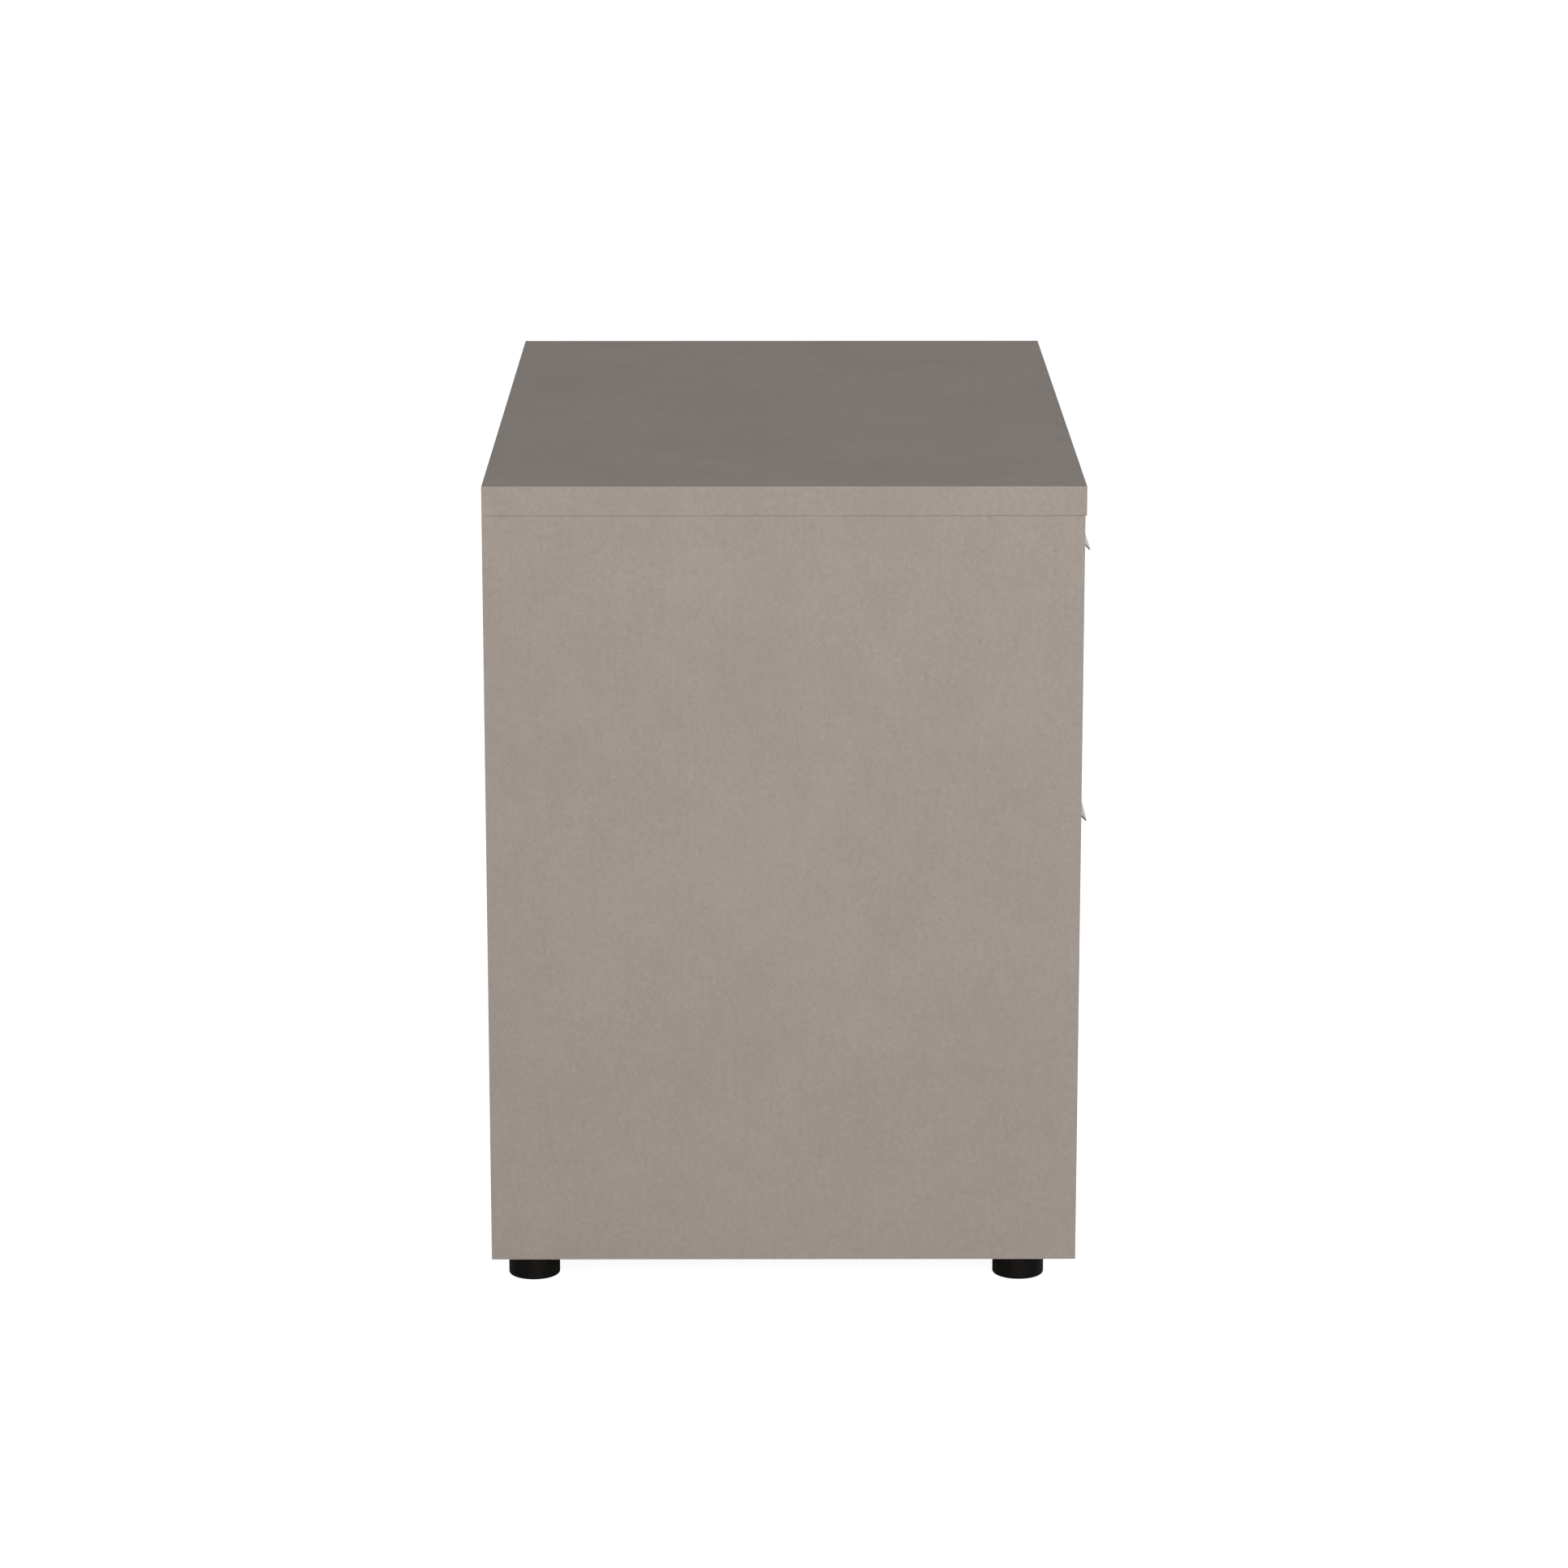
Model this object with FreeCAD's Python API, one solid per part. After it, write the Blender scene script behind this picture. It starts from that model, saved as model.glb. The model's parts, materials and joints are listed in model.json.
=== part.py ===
"""Two-drawer lateral filing cabinet: board carcass, steel drawer boxes on telescopic runners.

Millimetres. +Z is up, the drawers open towards -Y and the left side is -X. The origin is on the
floor, under the middle of the whole cabinet with its handles. "Left" and "right" are as seen by
someone facing the drawers.
Pieces that come in mirrored pairs are drawn on the right and mirrored to the left.
"""
import FreeCAD, Part
import math
import os

Vector = FreeCAD.Vector

# Carcass
WIDTH = 800.0
DEPTH = 500.0
CARCASS_HEIGHT = 647.0
TOP_THICKNESS = 25.0
TOP_OVERHANG = 1.2  # of the top past the drawer fronts
BOARD = 18.0  # sides, bottom and drawer fronts
BAND = 2.0  # plastic edge band glued to a board's visible edges
BAND_ROUND = 0.6
BACK_BOARD = 8.0
BACK_INSET = 10.0  # from the carcass's rear edge to the back board
GROOVE_DEPTH = 7.0
GROOVE_CLEARANCE = 0.2
BACK_SCREW_FROM_SIDE = 87.0

# Feet
FOOT_HEIGHT = 23.0
FOOT_DIAMETER = 44.0
FOOT_RIM_ROUND = 1.5
FOOT_NECK_DIAMETER = 30.0
FOOT_NECK_HEIGHT = 2.0
FOOT_CLEARANCE = 0.15  # from the neck to the bottom board
FOOT_FROM_SIDE = 35.0
FOOT_FROM_FRONT = 47.5
FOOT_FROM_BACK = 35.0
SPINDLE_DIAMETER = 8.0
SPINDLE_REACH = 13.0  # into the insert in the bottom board
SPINDLE_SEAT = 12.0  # moulded into the foot
SPINDLE_CLEARANCE = 0.1  # radial, in the insert
INSERT_DIAMETER = 12.0
INSERT_LENGTH = 14.0
INSERT_FLANGE_DIAMETER = 16.0
INSERT_FLANGE = 1.2

# Fittings that pull the boards together
CAM_DIAMETER = 15.0
CAM_THICKNESS = 12.5
CAM_SETBACK = 34.0  # from the joint to the cam's middle
CAM_SLOT_LENGTH = 9.0
CAM_SLOT_WIDTH = 1.6
CAM_SLOT_DEPTH = 1.5
BOLT_DIAMETER = 6.0
BOLT_HEAD_DIAMETER = 9.0
BOLT_HEAD = 2.5
BOLT_ANCHOR = 11.0
DOWEL_DIAMETER = 8.0
DOWEL_LENGTH = 30.0
DOWEL_IN_FACE = 10.0
CAM_FROM_EDGE = 60.0  # from the carcass's front and rear
DOWEL_FROM_EDGE = 130.0
BORE_CLEARANCE = 0.1  # radial, round every pin, screw and plug in its hole

# Drawer fronts
GAP = 3.0  # round each front
UPPER_FRONT_HEIGHT = 245.0

# Handles: a bent plate whose lip slopes out and down
HANDLE_LENGTH = 200.0
HANDLE_PLATE = 1.5
HANDLE_REACH = 23.5
HANDLE_FLANGE = 44.0
HANDLE_BEND = 2.0
HANDLE_TIP_ROUND = 0.45
HANDLE_FROM_TOP = 59.2  # from the front's top edge to the bend
HANDLE_SCREW_DROP = 35.0
HANDLE_SCREW_FROM_END = 22.0
SCREW_DIAMETER = 4.0
SCREW_LENGTH = 14.0  # in the board
SCREW_HEAD_DIAMETER = 7.6
SCREW_HEAD = 2.2

# Drawer boxes, folded from sheet steel
SHEET = 1.2
BOX_BACK_GAP = 14.0  # from the box to the back board
HEM_WIDTH = 4.0
HEM_HEIGHT = 8.0
BOX_GAP_BELOW = 19.0  # from the bottom board, or from the lower front's top edge, to the box
UPPER_RIM_DROP = 76.0  # from the front's top edge to the box's rim
LOWER_RIM_DROP = 99.0
BOX_BACK_DROP = 12.0  # of the box's back below its sides
BRACKET_PLATE = 2.0
BRACKET_LEG = 26.0
BRACKET_FOLD_ROUND = 1.5
BRACKET_HEIGHT = 96.0
BRACKET_LIFT = 14.0  # above the base
BRACKET_SCREW_SPREAD = 34.0
BRACKET_SCREW_FROM_FOLD = 15.0

# Hanging-file rails in the lower drawer
FILE_RAIL_SPACING = 330.0
FILE_RAIL_PLATE = 3.0
FILE_RAIL_DEPTH = 15.0
FILE_RAIL_FROM_BACK = 22.0
HOOK_PLATE = 1.5
HOOK_WIDTH = 24.0
HOOK_DROP = 16.0

# Telescopic runners: three nested channels with a row of balls above and below
RUNNER_SETBACK = 1.0  # behind the fronts
RUNNER_BACK_GAP = 13.0  # from the runners to the back board
RUNNER_THICKNESS = 12.7
RUNNER_HEIGHT = 45.0
CHANNEL = 1.2  # wall of each channel
BALL_DIAMETER = 3.2
BALL_CLEARANCE = 0.05  # above and below each ball
CABINET_FLANGE_END = 10.0  # measured from the carcass side
MIDDLE_WEB_START = 2.6
MIDDLE_FLANGE_END = 10.6
DRAWER_FLANGE_START = 5.2
BALL_FROM_SIDE = 7.4
CAGE_LENGTH = 200.0
CAGE_WIDTH = 4.4
CAGE_PLATE = 1.0
CAGE_CLEARANCE = 0.15
BALLS_PER_ROW = 9
UPPER_RUNNER_LIFT = 45.0  # from the box's underside to the runner's middle
LOWER_RUNNER_LIFT = 60.0
RUNNER_SCREW_FROM_END = 40.0
RUNNER_SCREW_DIAMETER = 6.0
RUNNER_SCREW_LENGTH = 11.0  # in the board
RUNNER_SCREW_HEAD = 0.8
RUNNER_SCREW_HEAD_DIAMETER = 9.0

# Places that follow
HALF = WIDTH / 2
INSIDE = HALF - BOARD
FRONT = (HANDLE_REACH - DEPTH) / 2
REAR = FRONT + DEPTH
FRONT_BACK = FRONT + BOARD  # rear face of the drawer fronts
BACK_FACE = REAR - BACK_INSET - BACK_BOARD
BASE = FOOT_HEIGHT
FLOOR_BOARD_TOP = BASE + BOARD
UNDER_TOP = BASE + CARCASS_HEIGHT
TOP = UNDER_TOP + TOP_THICKNESS
FRONT_HALF = INSIDE - GAP
UPPER_FRONT_TOP = UNDER_TOP - GAP
UPPER_FRONT_BOTTOM = UPPER_FRONT_TOP - UPPER_FRONT_HEIGHT
LOWER_FRONT_TOP = UPPER_FRONT_BOTTOM - GAP
LOWER_FRONT_BOTTOM = FLOOR_BOARD_TOP + GAP
BOX_HALF = INSIDE - RUNNER_THICKNESS
BOX_END = BACK_FACE - BOX_BACK_GAP
RUNNER_START = FRONT_BACK + RUNNER_SETBACK
RUNNER_LENGTH = BACK_FACE - RUNNER_BACK_GAP - RUNNER_START
RUNNER_MIDDLE = RUNNER_START + RUNNER_LENGTH / 2

# Half heights of the nested channels, from the outer one inwards
CABINET_OUTER = RUNNER_HEIGHT / 2
CABINET_INNER = CABINET_OUTER - CHANNEL
BALL_SPACE = BALL_DIAMETER + 2 * BALL_CLEARANCE
MIDDLE_OUTER = CABINET_INNER - BALL_SPACE
MIDDLE_INNER = MIDDLE_OUTER - CHANNEL
DRAWER_OUTER = MIDDLE_INNER - BALL_SPACE

# Heights of each drawer's front edges, of its box and of its runners' middle
UPPER = {
    "front_bottom": UPPER_FRONT_BOTTOM,
    "front_top": UPPER_FRONT_TOP,
    "box_bottom": UPPER_FRONT_BOTTOM + BOX_GAP_BELOW,
    "rim": UPPER_FRONT_TOP - UPPER_RIM_DROP,
    "runner": UPPER_FRONT_BOTTOM + BOX_GAP_BELOW + UPPER_RUNNER_LIFT,
}
LOWER = {
    "front_bottom": LOWER_FRONT_BOTTOM,
    "front_top": LOWER_FRONT_TOP,
    "box_bottom": FLOOR_BOARD_TOP + BOX_GAP_BELOW,
    "rim": LOWER_FRONT_TOP - LOWER_RIM_DROP,
    "runner": FLOOR_BOARD_TOP + BOX_GAP_BELOW + LOWER_RUNNER_LIFT,
}
DRAWERS = {"upper": UPPER, "lower": LOWER}


# Shapes

def block(x0, x1, y0, y1, z0, z1):
    """A box between two corners."""
    return Part.makeBox(x1 - x0, y1 - y0, z1 - z0, Vector(x0, y0, z0))


def rod(diameter, start, end):
    """A cylinder between two points."""
    axis = Vector(*end) - Vector(*start)
    return Part.makeCylinder(diameter / 2, axis.Length, Vector(*start), axis)


def hole(diameter, start, end):
    """A rod with the clearance that a hole leaves round its pin."""
    return rod(diameter + 2 * BORE_CLEARANCE, start, end)


def mirrored(shape):
    """The same piece on the cabinet's other side."""
    return shape.mirror(Vector(0, 0, 0), Vector(1, 0, 0))


def both(shape):
    """A piece and its mirror image."""
    return [shape, mirrored(shape)]


def joined(shapes):
    """One solid from solids that meet."""
    return shapes[0].fuse(shapes[1:]).removeSplitter()


def group(shapes):
    """Separate solids kept together in one node."""
    return Part.makeCompound(shapes)


def band(strip, outward):
    """An edge band: a strip whose two long outer edges are rounded."""
    outside = max(vertex.Point.dot(outward) for vertex in strip.Vertexes)
    longest = max(edge.Length for edge in strip.Edges)
    edges = []
    for edge in strip.Edges:
        on_face = all(abs(v.Point.dot(outward) - outside) < 0.001 for v in edge.Vertexes)
        if on_face and edge.Length > 0.999 * longest:
            edges.append(edge)
    return strip.makeFillet(BAND_ROUND, edges)


def screw(head_diameter, head, diameter, length, seat, inward):
    """A pan-head screw: its head stands on the seat and its shank runs inward."""
    seat = Vector(*seat)
    inward = Vector(*inward)
    shank = Part.makeCylinder(diameter / 2, length - diameter / 2, seat, inward)
    tip_base = seat + inward * (length - diameter / 2)
    tip = Part.makeCone(diameter / 2, diameter / 8, diameter / 2, tip_base, inward)
    cap = Part.makeCylinder(head_diameter / 2, head, seat - inward * head, inward)
    recess_size = head_diameter / 4
    recess = Part.makeCylinder(recess_size, head / 2, seat - inward * head, inward)
    crown = [e for e in cap.Edges if (e.CenterOfMass - (seat - inward * head)).Length < 0.001]
    cap = cap.makeFillet(head * 0.35, crown[:1])
    return joined([cap, shank, tip]).cut(recess)


# Carcass

def cam_places():
    """Places along Y of the cam fittings in each joint."""
    return (FRONT + CAM_FROM_EDGE, REAR - CAM_FROM_EDGE)


def dowel_places():
    """Places along Y of the dowels in each joint."""
    return (FRONT + DOWEL_FROM_EDGE, REAR - DOWEL_FROM_EDGE)


def side_middle():
    """Middle of the right side's thickness."""
    return HALF - BOARD / 2


def floor_board_middle():
    """Middle of the bottom board's thickness."""
    return BASE + BOARD / 2


def right_dowels(clearance=0.0):
    """Dowels of the right side's upper and lower joint, or their holes."""
    size = DOWEL_DIAMETER + 2 * clearance
    pins = []
    for y in dowel_places():
        top_pin = ((side_middle(), y, UNDER_TOP + DOWEL_IN_FACE + clearance),
                   (side_middle(), y, UNDER_TOP + DOWEL_IN_FACE - DOWEL_LENGTH - clearance))
        low_pin = ((INSIDE + DOWEL_IN_FACE + clearance, y, floor_board_middle()),
                   (INSIDE + DOWEL_IN_FACE - DOWEL_LENGTH - clearance, y, floor_board_middle()))
        pins.append(rod(size, *top_pin))
        pins.append(rod(size, *low_pin))
    return pins


def right_bolts(clearance=0.0):
    """Bolts from the top into the right side, and from the side into the bottom, or their holes."""
    size = BOLT_DIAMETER + 2 * clearance
    head_size = BOLT_HEAD_DIAMETER + 2 * clearance
    bolts = []
    for y in cam_places():
        for joint, inward in (
            (Vector(side_middle(), y, UNDER_TOP), Vector(0, 0, -1)),
            (Vector(INSIDE, y, floor_board_middle()), Vector(-1, 0, 0)),
        ):
            root = joint - inward * (BOLT_ANCHOR + clearance)
            reach = BOLT_ANCHOR + CAM_SETBACK + 2 * clearance
            shank = Part.makeCylinder(size / 2, reach, root, inward)
            head_start = joint + inward * (CAM_SETBACK - BOLT_HEAD - clearance)
            head = Part.makeCylinder(head_size / 2, BOLT_HEAD + 2 * clearance, head_start, inward)
            bolts.append(joined([shank, head]))
    return bolts


def right_cam_bores(clearance=0.0):
    """Cam discs let into the right side's inner face and the bottom's underside, or their bores."""
    size = CAM_DIAMETER + 2 * clearance
    discs = []
    for y in cam_places():
        in_side = Vector(INSIDE, y, UNDER_TOP - CAM_SETBACK)
        in_bottom = Vector(INSIDE - CAM_SETBACK, y, BASE)
        discs.append(Part.makeCylinder(size / 2, CAM_THICKNESS + clearance, in_side, Vector(1, 0, 0)))
        discs.append(Part.makeCylinder(size / 2, CAM_THICKNESS + clearance, in_bottom, Vector(0, 0, 1)))
    return discs


def cam_discs():
    """Eight cams, each hollowed for its bolt's head and slotted for a screwdriver."""
    discs = []
    bolts = right_bolts(2 * BORE_CLEARANCE)
    for disc in right_cam_bores():
        centre = disc.CenterOfMass
        reach, width = CAM_SLOT_LENGTH / 2, CAM_SLOT_WIDTH / 2
        in_side = disc.BoundBox.XLength < disc.BoundBox.ZLength
        if in_side:
            slot = block(INSIDE - 1, INSIDE + CAM_SLOT_DEPTH, centre.y - reach, centre.y + reach,
                         centre.z - width, centre.z + width)
        else:
            slot = block(centre.x - reach, centre.x + reach, centre.y - width, centre.y + width,
                         BASE - 1, BASE + CAM_SLOT_DEPTH)
        discs.extend(both(disc.cut(bolts + [slot])))
    return group(discs)


def cam_bolts():
    bolts = []
    for bolt in right_bolts():
        bolts.extend(both(bolt))
    return group(bolts)


def dowels():
    pins = []
    for pin in right_dowels():
        pins.extend(both(pin))
    return group(pins)


def joint_holes():
    """Every hole that the carcass's fittings need, on both sides."""
    holes = []
    for cut in right_dowels(BORE_CLEARANCE) + right_bolts(BORE_CLEARANCE) + right_cam_bores(BORE_CLEARANCE):
        holes.extend(both(cut))
    return holes


def top_front():
    """Front face of the top."""
    return FRONT - TOP_OVERHANG


def top_panel():
    board = block(-HALF + BAND, HALF - BAND, top_front() + BAND, REAR - BAND, UNDER_TOP, TOP)
    return board.cut(joint_holes())


def top_edge_bands():
    front = block(-HALF, HALF, top_front(), top_front() + BAND, UNDER_TOP, TOP)
    rear = block(-HALF, HALF, REAR - BAND, REAR, UNDER_TOP, TOP)
    right = block(HALF - BAND, HALF, top_front() + BAND, REAR - BAND, UNDER_TOP, TOP)
    sides = both(band(right, Vector(1, 0, 0)))
    return group([band(front, Vector(0, -1, 0)), band(rear, Vector(0, 1, 0))] + sides)


def runner_screw_places(runner):
    """Places along Y and Z of the screws that hold one runner to the carcass side."""
    reach = RUNNER_LENGTH / 2 - RUNNER_SCREW_FROM_END
    return [(RUNNER_MIDDLE + y, runner) for y in (-reach, 0, reach)]


def side_panel():
    """The right side, with its groove for the back board."""
    board = block(INSIDE, HALF, FRONT + BAND, REAR, BASE, UNDER_TOP)
    groove_front = BACK_FACE - GROOVE_CLEARANCE
    groove_rear = BACK_FACE + BACK_BOARD + GROOVE_CLEARANCE
    groove = block(INSIDE - 1, INSIDE + GROOVE_DEPTH, groove_front, groove_rear, BASE - 1, UNDER_TOP + 1)
    holes = joint_holes()
    for drawer in DRAWERS.values():
        for y, z in runner_screw_places(drawer["runner"]):
            deepest = INSIDE + RUNNER_SCREW_LENGTH + 1
            holes.append(hole(RUNNER_SCREW_DIAMETER, (INSIDE - 1, y, z), (deepest, y, z)))
    return board.cut([groove] + holes)


def bottom_panel():
    board = block(-INSIDE, INSIDE, FRONT + BAND, BACK_FACE, BASE, FLOOR_BOARD_TOP)
    holes = joint_holes()
    for x, y in foot_places():
        holes.append(hole(INSERT_DIAMETER, (x, y, BASE - 1), (x, y, BASE + INSERT_LENGTH + 1)))
        holes.append(hole(INSERT_FLANGE_DIAMETER, (x, y, BASE - 1), (x, y, BASE + INSERT_FLANGE)))
    for x in back_screw_places():
        holes.append(hole(SCREW_DIAMETER, (x, BACK_FACE + 1, floor_board_middle()),
                          (x, BACK_FACE - SCREW_LENGTH, floor_board_middle())))
    return board.cut(holes)


def carcass_edge_bands():
    """Bands on the front edges of both sides and of the bottom."""
    upright = block(INSIDE, HALF, FRONT, FRONT + BAND, BASE, UNDER_TOP)
    level = block(-INSIDE, INSIDE, FRONT, FRONT + BAND, BASE, FLOOR_BOARD_TOP)
    facing = Vector(0, -1, 0)
    return group(both(band(upright, facing)) + [band(level, facing)])


def back_screw_places():
    """Places along X of the screws that hold the back board to the bottom."""
    reach = INSIDE - BACK_SCREW_FROM_SIDE
    return [-reach, -reach / 3, reach / 3, reach]


def back_panel():
    edge = INSIDE + GROOVE_DEPTH - GROOVE_CLEARANCE
    board = block(-edge, edge, BACK_FACE, BACK_FACE + BACK_BOARD, BASE, UNDER_TOP)
    holes = []
    for x in back_screw_places():
        holes.append(hole(SCREW_DIAMETER, (x, BACK_FACE - 1, floor_board_middle()),
                          (x, BACK_FACE + BACK_BOARD + 1, floor_board_middle())))
    return board.cut(holes)


def back_panel_screws():
    seat = BACK_FACE + BACK_BOARD
    length = BACK_BOARD + SCREW_LENGTH - 1
    return group([
        screw(SCREW_HEAD_DIAMETER, SCREW_HEAD, SCREW_DIAMETER, length,
              (x, seat, floor_board_middle()), (0, -1, 0))
        for x in back_screw_places()
    ])


# Feet

def foot_places():
    """Middles of the four feet."""
    x = HALF - FOOT_FROM_SIDE
    ys = (FRONT + FOOT_FROM_FRONT, REAR - FOOT_FROM_BACK)
    return [(side * x, y) for y in ys for side in (-1, 1)]


def foot(x, y):
    """A turned foot: a plain disc with a rounded rim and a neck, hollow for its spindle."""
    disc_top = FOOT_HEIGHT - FOOT_NECK_HEIGHT
    disc = rod(FOOT_DIAMETER, (x, y, 0), (x, y, disc_top))
    disc = disc.makeFillet(FOOT_RIM_ROUND, [e for e in disc.Edges if e.BoundBox.ZLength < 0.001])
    neck = rod(FOOT_NECK_DIAMETER, (x, y, disc_top), (x, y, FOOT_HEIGHT - FOOT_CLEARANCE))
    seat = hole(SPINDLE_DIAMETER, (x, y, FOOT_HEIGHT - SPINDLE_SEAT), (x, y, FOOT_HEIGHT))
    return joined([disc, neck]).cut(seat)


def foot_spindle(x, y):
    """The steel spindle that stands in a foot and turns in its insert."""
    lowest = FOOT_HEIGHT - SPINDLE_SEAT
    highest = FOOT_HEIGHT + SPINDLE_REACH
    pin = rod(SPINDLE_DIAMETER, (x, y, lowest), (x, y, highest))
    tip = [e for e in pin.Edges if e.BoundBox.ZLength < 0.001 and e.CenterOfMass.z > FOOT_HEIGHT]
    return pin.makeChamfer(SPINDLE_DIAMETER / 8, tip)


def foot_inserts():
    """Four threaded inserts in the bottom board."""
    inserts = []
    for x, y in foot_places():
        sleeve = rod(INSERT_DIAMETER, (x, y, BASE), (x, y, BASE + INSERT_LENGTH))
        flange = rod(INSERT_FLANGE_DIAMETER, (x, y, BASE), (x, y, BASE + INSERT_FLANGE))
        bore_size = SPINDLE_DIAMETER + 2 * SPINDLE_CLEARANCE
        bore = rod(bore_size, (x, y, BASE - 1), (x, y, BASE + INSERT_LENGTH + 1))
        inserts.append(joined([sleeve, flange]).cut(bore))
    return group(inserts)


# Drawer fronts and handles

def handle_screw_places(drawer):
    """Places along X and Z of the two screws of a drawer's handle."""
    x = HANDLE_LENGTH / 2 - HANDLE_SCREW_FROM_END
    z = drawer["front_top"] - HANDLE_FROM_TOP - HANDLE_SCREW_DROP
    return [(-x, z), (x, z)]


def bracket_screw_places(drawer):
    """Places along X and Z of the screws that hold the box's brackets to the front."""
    x = BOX_HALF - SHEET - BRACKET_SCREW_FROM_FOLD
    middle = drawer["box_bottom"] + SHEET + BRACKET_LIFT + BRACKET_HEIGHT / 2
    heights = (middle - BRACKET_SCREW_SPREAD, middle + BRACKET_SCREW_SPREAD)
    return [(side * x, z) for side in (-1, 1) for z in heights]


def drawer_front(drawer):
    board = block(-FRONT_HALF + BAND, FRONT_HALF - BAND, FRONT, FRONT_BACK,
                  drawer["front_bottom"] + BAND, drawer["front_top"] - BAND)
    holes = []
    for x, z in handle_screw_places(drawer):
        holes.append(hole(SCREW_DIAMETER, (x, FRONT - 1, z), (x, FRONT + SCREW_LENGTH, z)))
    for x, z in bracket_screw_places(drawer):
        holes.append(hole(SCREW_DIAMETER, (x, FRONT_BACK + 1, z), (x, FRONT_BACK - SCREW_LENGTH, z)))
    return board.cut(holes)


def front_edge_bands(drawer):
    """Bands round the four edges of a drawer front."""
    low, high = drawer["front_bottom"], drawer["front_top"]
    above = block(-FRONT_HALF, FRONT_HALF, FRONT, FRONT_BACK, high - BAND, high)
    below = block(-FRONT_HALF, FRONT_HALF, FRONT, FRONT_BACK, low, low + BAND)
    right = block(FRONT_HALF - BAND, FRONT_HALF, FRONT, FRONT_BACK, low + BAND, high - BAND)
    level = [band(above, Vector(0, 0, 1)), band(below, Vector(0, 0, -1))]
    return group(level + both(band(right, Vector(1, 0, 0))))


def handle(drawer):
    """A flange screwed to the front and a lip that slopes out and down from its top edge."""
    bend = drawer["front_top"] - HANDLE_FROM_TOP
    slant = HANDLE_PLATE / math.sqrt(2)
    fold = bend - HANDLE_PLATE * (1 + math.sqrt(2))
    tip = HANDLE_REACH + HANDLE_TIP_ROUND * (math.sqrt(2) - 1)  # before its corners are rounded
    outline = [
        (FRONT, bend),
        (FRONT - tip, bend - tip),
        (FRONT - tip + slant, bend - tip - slant),
        (FRONT - HANDLE_PLATE, fold),
        (FRONT - HANDLE_PLATE, bend - HANDLE_FLANGE),
        (FRONT, bend - HANDLE_FLANGE),
    ]
    corners = [Vector(-HANDLE_LENGTH / 2, y, z) for y, z in outline]
    profile = Part.Face(Part.makePolygon(corners + corners[:1]))
    plate = profile.extrude(Vector(HANDLE_LENGTH, 0, 0))
    rounds = {0: HANDLE_BEND, 1: HANDLE_TIP_ROUND, 2: HANDLE_TIP_ROUND, 3: HANDLE_BEND / 2}
    for corner, radius in rounds.items():
        y, z = outline[corner]
        edges = [
            e for e in plate.Edges
            if e.BoundBox.XLength > HANDLE_LENGTH / 2
            and abs(e.CenterOfMass.y - y) < 0.01 and abs(e.CenterOfMass.z - z) < 0.01
        ]
        plate = plate.makeFillet(radius, edges)
    holes = [hole(SCREW_DIAMETER, (x, FRONT - 2 * HANDLE_PLATE, z), (x, FRONT + 1, z))
             for x, z in handle_screw_places(drawer)]
    return plate.cut(holes)


def handle_screws(drawer):
    length = HANDLE_PLATE + SCREW_LENGTH - 1
    return group([
        screw(SCREW_HEAD_DIAMETER, SCREW_HEAD, SCREW_DIAMETER, length,
              (x, FRONT - HANDLE_PLATE, z), (0, 1, 0))
        for x, z in handle_screw_places(drawer)
    ])


# Drawer boxes

def box_side(drawer):
    """The box's right side: a sheet with a hem along its top."""
    low = drawer["box_bottom"]
    high = drawer["rim"]
    sheet = block(BOX_HALF - SHEET, BOX_HALF, FRONT_BACK, BOX_END, low, high)
    hem = block(BOX_HALF - HEM_WIDTH, BOX_HALF, FRONT_BACK, BOX_END, high - HEM_HEIGHT, high)
    side = joined([sheet, hem])
    lips = [e for e in side.Edges if e.BoundBox.YLength > BOX_HALF / 2 and e.CenterOfMass.z > high - 0.01]
    return side.makeFillet(SHEET, lips)


def box_base(drawer):
    half = BOX_HALF - SHEET
    low = drawer["box_bottom"]
    return block(-half, half, FRONT_BACK, BOX_END, low, low + SHEET)


def box_back(drawer):
    """The box's back: a sheet between the sides with a hem along its top."""
    half = BOX_HALF - SHEET
    low = drawer["box_bottom"] + SHEET
    high = drawer["rim"] - BOX_BACK_DROP
    sheet = block(-half, half, BOX_END - SHEET, BOX_END, low, high)
    hem = block(-half, half, BOX_END - HEM_WIDTH, BOX_END, high - HEM_HEIGHT, high)
    back = joined([sheet, hem])
    lips = [e for e in back.Edges if e.BoundBox.XLength > half and e.CenterOfMass.z > high - 0.01]
    return back.makeFillet(SHEET, lips)


def front_brackets(drawer):
    """Two folded brackets inside the box's front corners."""
    low = drawer["box_bottom"] + SHEET + BRACKET_LIFT
    high = low + BRACKET_HEIGHT
    wall = BOX_HALF - SHEET
    on_front = block(wall - BRACKET_LEG, wall, FRONT_BACK, FRONT_BACK + BRACKET_PLATE, low, high)
    on_side = block(wall - BRACKET_PLATE, wall, FRONT_BACK, FRONT_BACK + BRACKET_LEG, low, high)
    bracket = joined([on_front, on_side])
    inner_x = wall - BRACKET_PLATE
    inner_y = FRONT_BACK + BRACKET_PLATE
    fold = [
        e for e in bracket.Edges
        if e.BoundBox.ZLength > BRACKET_HEIGHT / 2
        and abs(e.CenterOfMass.x - inner_x) < 0.01 and abs(e.CenterOfMass.y - inner_y) < 0.01
    ]
    bracket = bracket.makeFillet(BRACKET_FOLD_ROUND, fold)
    pair = both(bracket)
    holes = [hole(SCREW_DIAMETER, (x, FRONT_BACK - 1, z), (x, inner_y + 1, z))
             for x, z in bracket_screw_places(drawer)]
    return group([piece.cut(holes) for piece in pair])


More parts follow.
